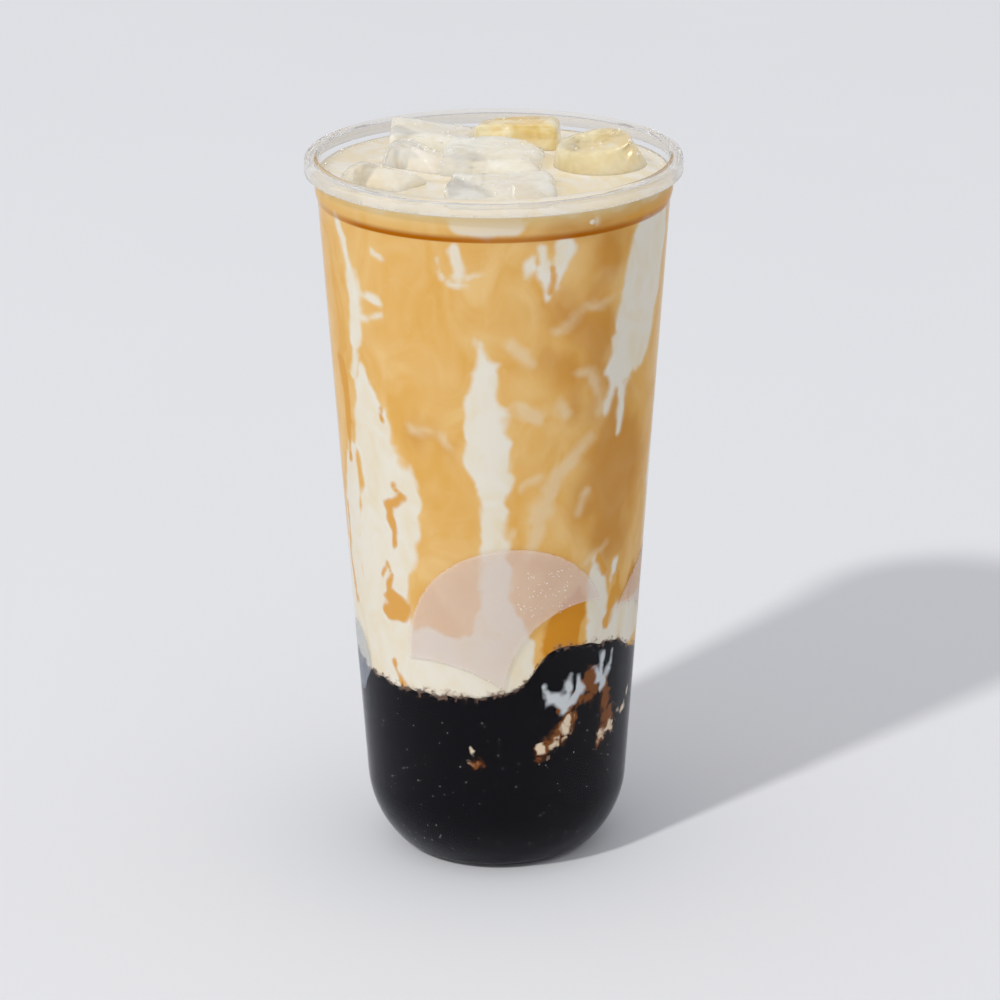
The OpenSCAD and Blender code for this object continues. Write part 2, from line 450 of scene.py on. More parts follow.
def block_of_ice(size, seed, cells=30):
    """Block on a gridded cube, its edges rounded more in some places than others, then melted."""
    half = np.array(size) / 2
    line = np.linspace(-1, 1, cells + 1)
    # The grid crowds a little towards the block's edges, which turn the most
    line = np.sign(line) * np.abs(line) ** 0.8
    points = []
    index = {}
    faces = []
    for axis in range(3):
        for side in (-1, 1):
            ids = np.empty((cells + 1, cells + 1), int)
            for i, a in enumerate(line):
                for j, b in enumerate(line):
                    place = [0.0, 0.0, 0.0]
                    place[axis] = side
                    place[(axis + 1) % 3] = a
                    place[(axis + 2) % 3] = b
                    key = tuple(round(p, 6) for p in place)
                    if key not in index:
                        index[key] = len(points)
                        points.append(place)
                    ids[i, j] = index[key]
            for i in range(cells):
                for j in range(cells):
                    corner = [ids[i, j], ids[i + 1, j], ids[i + 1, j + 1], ids[i, j + 1]]
                    faces.append([int(c) for c in (corner if side > 0 else corner[::-1])])
    points = np.array(points) * half
    wear = [noise.noise(Vector(p) / 9 + Vector((seed * 3.7, seed * 1.3, 0))) for p in points]
    wear = np.clip(0.5 + np.array(wear), 0, 1)[:, None]
    edge_r = block_edge_r + most_rounding * wear ** 2
    core = half - edge_r
    inner = np.clip(points, -core, core)
    away = points - inner
    length = np.maximum(np.linalg.norm(away, axis=1, keepdims=True), 1e-9)
    points = inner + away / length * edge_r
    return melted(points, seed, block_melt, 13.0), faces


def turned_ice(foot, top, height, seed, dimple_r=7.0, dimple_depth=2.2, edge=1.4, columns=96):
    """Barrel or cone about its own axis, its upper end hollowed by a ball, then melted."""
    quarter = np.linspace(0, math.pi / 2, 6)
    rim = math.sqrt(dimple_r ** 2 - (dimple_r - dimple_depth) ** 2)
    hollow = np.linspace(1, 0, 12)[:-1]
    hollow_line = np.stack([rim * hollow,
                            height - dimple_depth + dimple_r
                            - np.sqrt(dimple_r ** 2 - (rim * hollow) ** 2)], 1)
    side = np.linspace(0, 1, 24)[1:-1]
    low_line = np.stack([foot - edge + edge * np.sin(quarter), edge - edge * np.cos(quarter)], 1)
    high_line = np.stack([top - edge + edge * np.cos(quarter),
                          height - edge + edge * np.sin(quarter)], 1)
    side_line = low_line[-1] + side[:, None] * (high_line[0] - low_line[-1])
    flat = np.array([[foot * 0.4, 0.0], [foot * 0.75, 0.0]])
    line = np.concatenate([flat, low_line, side_line, high_line, hollow_line])
    rings = round_the_axis(line, columns) / MM
    points = np.vstack([[[0, 0, 0]], rings.reshape(-1, 3), [[0, 0, height - dimple_depth]]])
    faces = []
    for i in range(len(line) - 1):
        for j in range(columns):
            k = (j + 1) % columns
            faces.append((1 + i * columns + j, 1 + i * columns + k,
                          1 + (i + 1) * columns + k, 1 + (i + 1) * columns + j))
    last = (len(line) - 1) * columns + 1
    for j in range(columns):
        k = (j + 1) % columns
        faces.append((0, 1 + k, 1 + j))
        faces.append((len(points) - 1, last + j, last + k))
    return melted(points, seed, turned_melt, 9.0), faces


def ice_finish(name, milk_hex, clear_hex, least_clear, most_clear, cloud_mm):
    """Ice frozen fast and half melted: wet and glassy outside, with milky clouds of trapped air
    inside, so it passes the colour of the tea in some places and glows pale in others."""
    finish, tree, spot = new_finish(name)
    cloud = add(tree, "ShaderNodeTexNoise",
                {"Vector": spot, "Scale": 1 / (cloud_mm * MM), "Detail": 2.0, "Distortion": 0.4})
    cloudiness = add(tree, "ShaderNodeMapRange",
                     {"Value": cloud.outputs["Fac"], "From Min": 0.35, "From Max": 0.65,
                      "To Min": 0.0, "To Max": 1.0})
    tone = add(tree, "ShaderNodeMix",
               {0: cloudiness.outputs[0], 6: linear(milk_hex), 7: linear(clear_hex)},
               data_type="RGBA").outputs[2]
    clear = add(tree, "ShaderNodeMapRange",
                {"Value": cloudiness.outputs[0], "To Min": least_clear, "To Max": most_clear})
    ripple = add(tree, "ShaderNodeTexNoise", {"Vector": spot, "Scale": 220.0, "Detail": 1.0})
    wet = add(tree, "ShaderNodeBump",
              {"Height": ripple.outputs["Fac"], "Strength": 0.05, "Distance": 0.0004})
    ice = add(tree, "ShaderNodeBsdfPrincipled", {
        "Base Color": tone,
        "Roughness": 0.04,
        "IOR": 1.31,
        "Transmission Weight": clear.outputs[0],
        "Subsurface Weight": 0.85,
        "Subsurface Radius": (1.0, 0.95, 0.85),
        "Subsurface Scale": 0.008,
        "Normal": wet.outputs[0],
    })
    let_light_through(tree, ice.outputs[0], "#fbfaf8")
    return finish


milky_ice = ice_finish("milky_wet_ice", "#f9f5e7", "#f6f1e2", 0.25, 0.62, 9.0)
clear_ice = ice_finish("clear_wet_ice", "#fefdf8", "#fdfcf6", 0.5, 0.8, 8.0)
tan_ice = ice_finish("tea_stained_wet_ice", "#fbf3e4", "#f8edd8", 0.35, 0.7, 7.0)
cone_ice = ice_finish("yellow_stained_wet_ice", "#ede2bf", "#e8d7a8", 0.35, 0.7, 7.0)
syrup_ice = ice_finish("syrup_coated_ice", "#f4e5be", "#ecca7c", 0.2, 0.5, 6.0)

blocks = [
    ("ice_back_left", (21, 20, 21), (-16.0, 21.0, -5.2), (0, 8, 2), milky_ice),
    ("ice_middle", (24, 24, 21), (-0.5, 5.5, -6.1), (3, 2, -4), milky_ice),
    ("ice_back", (20, 14, 19), (6.4, 24.6, -3.4), (-2, -3, -6), syrup_ice),
    ("ice_leaning", (18, 11, 16), (-17.8, 3.4, -3.6), (-14, 17, -38), clear_ice),
    ("ice_front", (26, 24, 20), (1.6, -21.8, -7.4), (1, 1, 2), milky_ice),
]
ice_pieces = []
for seed, (node_name, size, at, turn, finish) in enumerate(blocks, 1):
    points, faces = block_of_ice(size, seed)
    ice_pieces.append(
        ice_piece(node_name + "_melted", placed(points, at, turn), faces, node_name, finish))

barrel_r = 8.0
barrel_len = 18.0
points, faces = turned_ice(barrel_r, barrel_r, barrel_len, 8)
points = points - [0, 0, barrel_len / 2]
lay_down = np.array(Euler((0, math.radians(92), 0), "XYZ").to_matrix())
points = placed(points @ lay_down.T, (-26, -11, -4.3), (0, 0, -41))
ice_pieces.append(ice_piece("ice_barrel_melted", points, faces, "ice_barrel", tan_ice))

cone_foot_r = 12.8
cone_top_r = 9.2
cone_h = 13.0
points, faces = turned_ice(cone_foot_r, cone_top_r, cone_h, 9)
points = placed(points - [0, 0, cone_h], (23.6, 3.8, 6.6), (4, -9, 0))
ice_pieces.append(ice_piece("ice_cone_melted", points, faces, "ice_cone", cone_ice))

# ----------------------------------------
# Black layer: grass jelly and tapioca pearls packed at the foot, with a lumpy top edge and
# a few curls of milk and syrup pressed against the wall. It fills the cup to its wall.
# ----------------------------------------
wall_reach = 0.12
even_below = 44
fill_line = wall_line(wall_t - wall_reach)
columns = 440
turns = np.linspace(0, 2 * math.pi, columns, endpoint=False)
degrees = (np.degrees(turns) + 180) % 360 - 180

# Height of the black layer's edge round the wall: degrees from the front, then mm.
edge_points = [
    (-180, 50), (-155, 53), (-130, 49.5), (-100, 52), (-75, 50), (-60, 49), (-40, 48.5),
    (-10, 49), (4, 50), (12, 52.5), (18, 58), (25, 61), (36, 61), (46, 59), (57, 59),
    (70, 54), (85, 51), (105, 55), (128, 52), (155, 53), (180, 50),
]
edge_z = np.interp(degrees, [p[0] for p in edge_points], [p[1] for p in edge_points])
smooth = np.ones(9) / 9
edge_z = np.convolve(np.concatenate([edge_z[-8:], edge_z, edge_z[:8]]), smooth, "same")[8:-8]
crumb = np.random.default_rng(11)
for waves, depth in ((19, 0.4), (37, 0.25)):
    for _ in range(3):
        count = waves + int(crumb.integers(-6, 7))
        edge_z += depth * np.sin(turns * count + crumb.uniform(0, 6.28)) * crumb.uniform(0.4, 1)


def radius_at(height):
    """Radius of what fills the cup, in mm, at a height."""
    return np.interp(height, fill_line[:, 1], fill_line[:, 0])


def wall_points(heights):
    """Points on the filling's side, in metres, at one height or at one for each column."""
    heights = np.broadcast_to(heights, columns)
    radius = radius_at(heights)
    return np.stack([radius * np.sin(turns), -radius * np.cos(turns), heights], -1) * MM


far_outside = -6.0


def distance_inside(strokes, angle, height):
    """How far inside any stroke each point of the wall lies, in mm; it is negative outside.
    A stroke is a run of (degrees from the front, mm up, half its width in mm)."""
    best = np.full(angle.shape, far_outside)
    for stroke in strokes:
        start = stroke[0][0]
        across = np.radians((angle - start + 180) % 360 - 180) * unrolled_r
        for (a0, z0, w0), (a1, z1, w1) in zip(stroke, stroke[1:]):
            u0 = math.radians(a0 - start) * unrolled_r
            u1 = math.radians(a1 - start) * unrolled_r
            run = max((u1 - u0) ** 2 + (z1 - z0) ** 2, 1e-6)
            t = np.clip(((across - u0) * (u1 - u0) + (height - z0) * (z1 - z0)) / run, 0, 1)
            gap = np.hypot(across - u0 - t * (u1 - u0), height - z0 - t * (z1 - z0))
            best = np.maximum(best, w0 + t * (w1 - w0) - gap)
    return best


def drifted(angle, height, seed, drift):
    """Angles and heights pushed by a smooth seeded flow, so that straight strokes curl."""
    flow = np.random.default_rng(seed)
    across = np.radians(angle)
    du = np.zeros_like(angle)
    dz = np.zeros_like(angle)
    for size in (26.0, 14.0, 8.0, 5.0):
        for _ in range(3):
            around = round(251 / size * flow.uniform(0.6, 1.4))
            upward = 6.28 / size * flow.uniform(-1, 1)
            wave = np.sin(across * around + height * upward + flow.uniform(0, 6.28))
            du += wave * size * flow.uniform(0.2, 0.5)
            dz += np.roll(wave, 1, axis=-1) * size * flow.uniform(-0.4, 0.4)
    return angle + np.degrees(du * drift / unrolled_r), height + dz * drift


def paint_points(piece, name, values):
    """Stores one number for each point of the piece, for its material to read."""
    layer = piece.data.attributes.new(name, "FLOAT", "POINT")
    layer.data.foreach_set("value", np.asarray(values, np.float32))


def heights_and_angles(piece):
    """Height in mm and angle from the front in degrees of each point of a piece."""
    co = np.empty(len(piece.data.vertices) * 3, np.float32)
    piece.data.vertices.foreach_get("co", co)
    co = co.reshape(-1, 3).astype(float) / MM
    return co[:, 2], np.degrees(np.arctan2(co[:, 0], -co[:, 1]))


foot_line = fill_line[fill_line[:, 1] > floor_t - wall_reach]
foot_line = foot_line[foot_line[:, 1] < even_below]
rise = np.linspace(0, 1, 24)[1:]
rings = [wall_points(z) for z in foot_line[:, 1]]
side_z = np.linspace(foot_line[-1, 1], even_below, 22)[1:]
rings += [wall_points(z) for z in side_z]
rings += [wall_points(even_below + (edge_z - even_below) * t) for t in rise]
dark_top = 50.0
between_layers = []
for share in (0.9, 0.6, 0.25):
    inner = wall_points(edge_z)
    inner[:, :2] *= share
    inner[:, 2] = (dark_top + (edge_z - dark_top) * share) * MM
    between_layers.append(inner)
rings += between_layers
bottom = np.array(rings[0])
bottom[:, :2] *= 0.5
jelly = skin("black_jelly", np.array([bottom] + rings),
             (0, 0, rings[0][0, 2]), (0, 0, dark_top * MM))

white_curls = [
    [(21, 51, 0.6), (24, 48, 1.3), (28, 48, 1.6)],
    [(31, 54, 0.5), (31, 50, 1.4), (28, 47, 1.8)],
    [(36, 52, 1.0), (36, 48, 1.4), (31, 46, 1.6), (29, 44, 0.8)],
    [(44, 51, 0.8), (46, 49, 1.4), (50, 48, 1.6)],
    [(47, 56, 0.4), (47, 52, 0.9), (48, 49, 1.4)],
    [(56, 55, 0.5), (54, 51, 1.1), (51, 48, 1.4), (48, 46, 0.5)],
]
cream_curls = [
    [(31, 42, 0.6), (31, 39, 1.1), (28, 36, 1.0), (24, 34, 0.9)],
    [(20, 38, 0.4), (19, 36, 0.9), (22, 34, 1.0)],
    [(73, 41, 0.7), (68, 38, 1.2), (60, 36, 1.2), (52, 35, 0.9), (46, 34, 0.3)],
    [(-10, 34, 1.5), (-9, 33, 1.3)],
]
brown_curls = [
    [(30, 46, 2.0), (36, 47, 1.8), (42, 50, 2.2), (44, 47, 2.4), (40, 45, 1.2)],
    [(31, 45, 1.6), (31, 40, 2.0), (26, 36, 2.0), (19, 35, 1.8)],
    [(52, 48, 2.0), (54, 43, 2.0), (58, 37, 2.4), (50, 34, 1.4)],
    [(-9, 32, 1.3), (-8, 31, 1.0)],
]
height, angle = heights_and_angles(jelly)
bent_angle, bent_height = drifted(angle, height, 5, 0.05)
for name, curls in (("white", white_curls), ("cream", cream_curls), ("brown", brown_curls)):
    paint_points(jelly, name, distance_inside(curls, bent_angle, bent_height))


def depth_under_edge(angle, height):
    """How far each point lies under the black layer's edge, in mm."""
    order = np.argsort(degrees)
    return np.interp(angle, degrees[order], edge_z[order]) - height


paint_points(jelly, "fringe", 0.2 - depth_under_edge(angle, height))


def torn_edge(tree, attribute, spot, wobble, grain_mm, soft, strength=1.0):
    """Mask of a stored field, in mm, with an edge torn by wobble; soft is the change's width."""
    field = add(tree, "ShaderNodeAttribute", attribute_name=attribute).outputs["Fac"]
    grain = add(tree, "ShaderNodeTexNoise",
                {"Vector": spot, "Scale": 1 / (grain_mm * MM), "Detail": 1.6, "Roughness": 0.4,
                 "Distortion": 0.5})
    centred = add(tree, "ShaderNodeMath", {0: grain.outputs["Fac"], 1: 0.5}, operation="SUBTRACT")
    moved = add(tree, "ShaderNodeMath",
                {0: centred.outputs[0], 1: 5 * wobble, 2: field}, operation="MULTIPLY_ADD")
    edge = add(tree, "ShaderNodeMapRange",
               {"Value": moved.outputs[0], "From Min": -soft / 2, "From Max": soft / 2,
                "To Max": strength},
               interpolation_type="SMOOTHSTEP")
    return edge.outputs[0]


# Black jelly pressed against the plastic: near black and even, with a brown fringe where the
# milk meets it, and thin blue-white milk that fades into brown syrup.
black_jelly, tree, spot = new_finish("black_jelly_behind_plastic")
tone = mottled(tree, spot, 260.0, 4.0, "#060408", "#0b090e")
for field, wobble, grain, soft, hex_colour in (("fringe", 1.3, 1.3, 1.2, "#6b564a"),
                                               ("brown", 1.0, 3.0, 2.4, "#4a2a17"),
                                               ("brown", 1.4, 2.0, 1.4, "#7d4a20"),
                                               ("cream", 0.9, 2.0, 1.2, "#e2d0b5"),
                                               ("white", 0.6, 3.0, 1.6, "#ccd2d5")):
    mask = torn_edge(tree, field, spot, wobble, grain, soft, 0.95)
    tone = add(tree, "ShaderNodeMix", {0: mask, 6: tone, 7: linear(hex_colour)},
               data_type="RGBA").outputs[2]
jelly_skin = add(tree, "ShaderNodeBsdfPrincipled",
                 {"Base Color": tone, "Roughness": 0.6, "Specular IOR Level": 0.05,
                  "Sheen Weight": 0.55, "Sheen Roughness": 0.38, "Sheen Tint": linear("#dfe4f2")})
add(tree, "ShaderNodeOutputMaterial", {"Surface": jelly_skin.outputs[0]})
jelly.data.materials.append(black_jelly)
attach(jelly, "root")
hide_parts("dark_layer")

# ----------------------------------------
# Milk tea: fresh milk poured over tea and brown sugar syrup. It fills the cup from the black
# layer to just under the lip, marbled where it meets the wall, with the ice sunk in its top.
# ----------------------------------------
even_above = 66.0
rows = np.arange(even_above, drink_z - 0.3, 0.8)
side = [wall_points(edge_z + (even_above - edge_z) * t) for t in np.linspace(0, 1, 22)[:-1]]
side += [wall_points(z) for z in rows]

ice_trees = []
for piece in ice_pieces:
    points = [v.co for v in piece.data.vertices]
    polygons = [list(p.vertices) for p in piece.data.polygons]
    ice_trees.append(BVHTree.FromPolygons(points, polygons))

# Tea wets the ice: its surface runs this far into it, in mm, and climbs a little beside it.
contact = 1.2
under_ice_lap = 0.3
rim_rise = 0.5
rim_reach = 1.3


def tea_top(x, y, at_wall):
    """Height of the tea at a place, in metres: level, drawn up at the ice and hollowed under it."""
    level = Vector((x, y, drink_z * MM))
    nearest = at_wall
    for ice in ice_trees:
        place, normal, _, gap = ice.find_nearest(level)
        inside = (level - place).dot(normal) < 0
        if inside and gap > contact * MM:
            below = ice.ray_cast(level, Vector((0, 0, -1)))[0]
            if below is not None:
                return below.z + under_ice_lap * MM
        nearest = min(nearest, 0.0 if inside else gap)
    return (drink_z + rim_rise * math.exp(-nearest / (rim_reach * MM))) * MM


top_r = radius_at(drink_z)
top = []
for share in np.linspace(1, 0, 54)[:-1]:
    ring = np.empty((columns, 3))
    for j, turn in enumerate(turns):
        x = top_r * share * math.sin(turn) * MM
        y = -top_r * share * math.cos(turn) * MM
        ring[j] = (x, y, tea_top(x, y, top_r * (1 - share) * MM))
    top.append(ring)
tea = skin("milk_tea_marbled", np.array(between_layers[::-1] + side + top),
           (0, 0, dark_top * MM), (0, 0, tea_top(0, 0, 1.0)))

cream_streams = [
    # thin stream at the left with two side arms, and flecks under the step
    [(-61, 164, 1.5), (-58, 157, 1.5), (-55, 150, 2.0), (-54, 145, 2.0), (-57, 137, 1.6),
     (-60, 127, 0.8)],
    [(-54, 148, 1.2), (-43, 147, 0.6)],
    [(-54, 142, 1.2), (-42, 144, 0.7)],
    [(-43, 159, 0.8), (-40, 158, 0.6)],
    [(-18, 160, 0.7), (-16, 156, 0.7)],
    [(-12, 162, 0.7), (-10, 158, 1.0), (-12, 156, 0.7)],
    [(-8, 156, 0.7), (-4, 157, 0.6)],
    [(-14, 154, 0.5), (-9, 154, 0.5)],
    # two lobes right of the middle
    [(16, 162, 1.2), (17, 156, 1.4), (18, 151, 0.4)],
    [(24, 162, 1.8), (23, 158, 1.8), (20, 153, 0.8)],
    [(12, 160, 0.7), (10, 156, 0.4)],
    # broad pale band at the right
    [(66, 163, 9.0), (62, 154, 9.5), (60, 145, 9.5), (56, 136, 8.5), (48, 128, 4.0)],
    [(46, 127, 2.4), (42, 120, 0.7)],
    [(50, 126, 2.0), (51, 121, 1.5), (50, 114, 0.8)],
    # big cream mass at the left, down to the black layer and out to the far left
    [(-53, 128, 1.2), (-52, 122, 5.0), (-50, 115, 7.5), (-49, 108, 7.5), (-46, 102, 9.0),
     (-44, 97, 11.0), (-46, 89, 10.5), (-50, 81, 10.5), (-52, 72, 9.5), (-48, 60, 10.0),
     (-40, 52, 10.0), (-20, 52, 6.0)],
    [(-36, 86, 3.5), (-38, 79, 2.5), (-39, 73, 0.6)],
    [(-66, 106, 3.0), (-70, 95, 5.0), (-72, 82, 6.0), (-74, 68, 7.0)],
    # stream down the middle
    [(-5, 141, 1.0), (-4, 134, 2.4), (-5, 127, 4.0), (-3, 118, 5.5), (-3, 112, 6.0),
     (-1, 106, 4.5), (-1, 100, 3.4), (-1, 89, 3.0), (0, 75, 5.0), (2, 65, 8.0), (0, 54, 12.0)],
    [(-26, 60, 6.0), (-15, 57, 8.0), (-5, 53, 8.0)],
    [(-92, 58, 5.0), (-75, 58, 8.0), (-55, 57, 9.0), (-30, 56, 8.0)],
    [(13, 62, 2.5), (12, 55, 1.5)],
    # column over the black lump at the right
    [(42, 81, 2.0), (43, 72, 4.0), (46, 63, 5.5), (60, 62, 6.0), (75, 62, 6.0)],
    [(52, 80, 1.2), (51, 75, 1.2)],
]
tan_streams = [
    [(24, 123, 1.4), (25, 121, 1.2)],
    [(10, 123, 2.2), (15, 121, 1.6)],
    [(36, 114, 1.2), (28, 109, 2.2), (23, 106, 2.0), (20, 101, 2.0), (16, 95, 2.4),
     (14, 88, 2.4)],
    [(16, 106, 1.0), (10, 104, 0.8)],
    [(37, 82, 0.9), (47, 85, 0.7)],
    [(42, 148, 0.7), (31, 146, 0.9), (22, 142, 0.6)],
    [(29, 131, 0.8), (35, 131, 1.2), (38, 126, 1.2), (40, 121, 1.0)],
    [(-30, 117, 0.7), (-22, 117, 0.9), (-17, 114, 0.8)],
    [(14, 134, 1.0), (5, 139, 1.0)],
    [(36, 100, 0.8), (33, 95, 0.6)],
]
amber_marks = [
    [(-44, 120, 0.7), (-44, 118, 0.8)],
    [(-41, 101, 0.8), (-38, 99, 0.8), (-43, 96, 1.3), (-43, 92, 1.3), (-42, 89, 1.0),
     (-42, 86, 0.5)],
    [(-69, 128, 1.6), (-67, 115, 2.0), (-68, 104, 1.0)],
    [(-77, 90, 0.7), (-79, 76, 1.0), (-75, 66, 0.6)],
    [(-46, 74, 0.9), (-44, 78, 0.8), (-47, 80, 0.8), (-50, 77, 0.6)],
    [(-45, 72, 2.0), (-41, 70, 3.4), (-48, 67, 1.5)],
    [(-45, 55, 0.9), (-42, 50, 1.2)],
    [(43, 82, 0.8), (47, 77, 0.5)],
    [(54, 72, 1.2), (54, 68, 1.0), (51, 64, 1.5)],
    [(56, 75, 0.9), (58, 70, 0.9)],
    [(68, 75, 1.2), (66, 69, 1.2), (67, 65, 0.6)],
    [(19, 158, 0.5), (19, 152, 0.3)],
    # the neck at the right is darker amber
    [(50, 166.5, 1.0), (60, 168, 2.6), (72, 168.5, 3.4), (82, 169, 3.4)],
]
brown_marks_and_right_shade = [
    [(25, 134, 3.5), (28, 125, 2.2), (29, 121, 1.0)],
    [(38, 125, 1.5), (39, 119, 1.0)],
    [(-30, 116, 0.7), (-22, 116, 0.8), (-18, 114, 0.7), (-16, 111, 0.5)],
    [(42, 162, 3.5), (38, 153, 3.0), (32, 147, 2.0)],
    # broad brown veil at the right, on the side away from the softbox: painted shade
    [(46, 122, 7.0), (50, 104, 12.0), (48, 88, 9.0)],
    [(22, 148, 4.0), (36, 140, 7.0), (44, 128, 6.0)],
    [(50, 169.4, 0.8), (58, 170.2, 1.0), (68, 170.8, 0.8)],
    [(60, 167, 1.5), (76, 168, 3.0)],
    [(14, 167, 1.0), (24, 167.5, 1.6), (40, 167, 1.2)],
]
orange_marks = [
    [(35, 75, 1.5), (32, 71, 4.0), (28, 65, 5.8), (27, 60, 6.0)],
]
pale_marks = [
    [(-11, 169.5, 2.4), (-8, 168.4, 2.5), (4, 168.4, 2.5), (7, 169.5, 2.4)],
    [(33, 168.5, 0.9), (33, 168.4, 0.9)],
    [(-80, 172, 2.0), (-40, 172, 1.9), (0, 172, 1.8), (40, 172, 2.2), (80, 172, 2.0)],
]

# Round the back the same streams run on: seeded, drifting down from the ice to the jelly.
pour = np.random.default_rng(23)
for start in np.linspace(97, 266, 12):
    stream = []
    at = start + pour.uniform(-6, 6)
    z = pour.uniform(110, 163)
    width = pour.uniform(0.8, 5.5)
    while z > 50:
        stream.append((at, z, width))
        at += pour.uniform(-5, 5)
        z -= pour.uniform(6, 13)
        width = min(max(width + pour.uniform(-1.8, 2.2), 0.5), 8.0)
    cream_streams.append(stream)

height, angle = heights_and_angles(tea)
bent_angle, bent_height = drifted(angle, height, 7, 0.035)
for name, strokes in (("cream", cream_streams), ("tan", tan_streams), ("amber", amber_marks),
                      ("brown", brown_marks_and_right_shade), ("orange", orange_marks), ("pale", pale_marks)):
    paint_points(tea, name, distance_inside(strokes, bent_angle, bent_height))

# How strongly the syrup darkens the ring over the stacking step, at degrees round the wall.
ring_points = [(-180, 0.4), (-80, 0.3), (-62, 0.5), (-48, 1.0), (-18, 1.0), (0, 0.8), (12, 0.8),
               (28, 1.0), (45, 0.9), (62, 0.6), (80, 0.4), (180, 0.4)]
paint_points(tea, "ring", np.interp(angle, [p[0] for p in ring_points],
                                    [p[1] for p in ring_points]))
paint_points(tea, "fringe", 0.3 + depth_under_edge(angle, height))

# Tea and milk behind the plastic: amber where the syrup runs, cream where the milk has stayed
# whole, each with torn edges and a thinner veil round it. A broad brown veil at the right is
# painted shade. Over the step lies a ring of syrup.
marbled_tea, tree, spot = new_finish("marbled_milk_tea_behind_plastic")
tall = add(tree, "ShaderNodeMapping", {"Vector": spot, "Scale": (1.0, 1.0, 0.7)}).outputs[0]
swirl = add(tree, "ShaderNodeTexNoise",
            {"Vector": tall, "Scale": 75.0, "Detail": 4.0, "Roughness": 0.5, "Distortion": 1.1})
swirl_share = add(tree, "ShaderNodeMapRange",
                  {"Value": swirl.outputs["Fac"], "From Min": 0.36, "From Max": 0.66})
tone = add(tree, "ShaderNodeMix",
           {0: swirl_share.outputs[0], 6: linear("#dfac5b"), 7: linear("#e7bf7e")},
           data_type="RGBA").outputs[2]
wisp = add(tree, "ShaderNodeTexNoise",
           {"Vector": tall, "Scale": 210.0, "Detail": 5.0, "Roughness": 0.6, "Distortion": 2.5})
wisp_share = add(tree, "ShaderNodeMapRange",
                 {"Value": wisp.outputs["Fac"], "From Min": 0.58, "From Max": 0.72,
                  "To Max": 0.14})
tone = add(tree, "ShaderNodeMix", {0: wisp_share.outputs[0], 6: tone, 7: linear("#ead2a0")},
           data_type="RGBA").outputs[2]
milk = add(tree, "ShaderNodeTexNoise",
           {"Vector": tall, "Scale": 140.0, "Detail": 5.0, "Distortion": 1.0})
milk_share = add(tree, "ShaderNodeMapRange",
                 {"Value": milk.outputs["Fac"], "From Min": 0.4, "From Max": 0.75,
                  "To Max": 0.6})
milk_tone = add(tree, "ShaderNodeMix",
                {0: milk_share.outputs[0], 6: linear("#e7e1d2"), 7: linear("#e3d0a6")},
                data_type="RGBA").outputs[2]
for field, wobble, grain, soft, strength, colour in (
        # brown: darker marks, and the broad veil at the right, which is painted shade
        ("brown", 2.4, 10.0, 12.0, 0.6, linear("#bd7a2a")),
        ("tan", 1.0, 6.0, 3.0, 0.55, linear("#e6d3b0")),
        ("cream", 1.8, 8.0, 5.0, 0.4, linear("#e6c78f")),
        ("cream", 1.1, 6.5, 1.9, 1.0, milk_tone),
        ("amber", 0.7, 5.0, 1.8, 0.55, linear("#c98530")),
        ("amber", 0.7, 5.0, 1.2, 0.85, linear("#dba045")),
        ("orange", 1.2, 6.0, 1.6, 1.0, linear("#d08c2c")),
        ("pale", 0.7, 5.0, 1.6, 0.85, linear("#e4dccb")),
        ("fringe", 1.4, 2.6, 2.4, 0.45, linear("#a88468")),
        ("fringe", 1.1, 1.3, 1.2, 0.8, linear("#54423a"))):
    mask = torn_edge(tree, field, spot, wobble, grain, soft, strength)
    tone = add(tree, "ShaderNodeMix", {0: mask, 6: tone, 7: colour}, data_type="RGBA").outputs[2]
height_up = add(tree, "ShaderNodeSeparateXYZ", {0: spot}).outputs["Z"]
over_step = add(tree, "ShaderNodeMapRange",
                {"Value": height_up, "From Min": (step_z - 0.5) * MM,
                 "From Max": (step_z - 0.05) * MM}, interpolation_type="SMOOTHSTEP")
up_the_neck = add(tree, "ShaderNodeMapRange",
                  {"Value": height_up, "From Min": (step_z + 2.0) * MM,
                   "From Max": (step_z + 0.3) * MM}, interpolation_type="SMOOTHSTEP")
thinned = add(tree, "ShaderNodeMapRange",
              {"Value": height_up, "From Min": (step_z + 1.6) * MM,
               "From Max": (step_z + 5.6) * MM, "To Max": 0.7}, interpolation_type="SMOOTHSTEP")
tone = add(tree, "ShaderNodeMix", {0: thinned.outputs[0], 6: tone, 7: linear("#dfc389")},
           data_type="RGBA").outputs[2]
ring_strength = add(tree, "ShaderNodeAttribute", attribute_name="ring").outputs["Fac"]
ring_height = add(tree, "ShaderNodeMath",
                  {0: over_step.outputs[0], 1: up_the_neck.outputs[0]}, operation="MULTIPLY")
ring = add(tree, "ShaderNodeMath", {0: ring_height.outputs[0], 1: ring_strength},
           operation="MULTIPLY")
tone = add(tree, "ShaderNodeMix", {0: ring.outputs[0], 6: tone, 7: linear("#ad6000")},
           data_type="RGBA").outputs[2]
behind_wall = add(tree, "ShaderNodeBsdfPrincipled",
                  {"Base Color": tone, "Roughness": 0.6, "Specular IOR Level": 0.0})
add(tree, "ShaderNodeOutputMaterial", {"Surface": behind_wall.outputs[0]})

# The open surface is wet and mirror smooth, cream with paler trails of milk.
open_tea, tree, spot = new_finish("open_milk_tea_surface")
trail = add(tree, "ShaderNodeTexNoise",
            {"Vector": spot, "Scale": 130.0, "Detail": 5.0, "Distortion": 1.4})
trail_share = add(tree, "ShaderNodeMapRange",
                  {"Value": trail.outputs["Fac"], "From Min": 0.42, "From Max": 0.6})
tone = add(tree, "ShaderNodeMix",
           {0: trail_share.outputs[0], 6: linear("#eee0c0"), 7: linear("#f1eada")},
           data_type="RGBA").outputs[2]
surface = add(tree, "ShaderNodeBsdfPrincipled",
              {"Base Color": tone, "Roughness": 0.08, "IOR": 1.33})
add(tree, "ShaderNodeOutputMaterial", {"Surface": surface.outputs[0]})

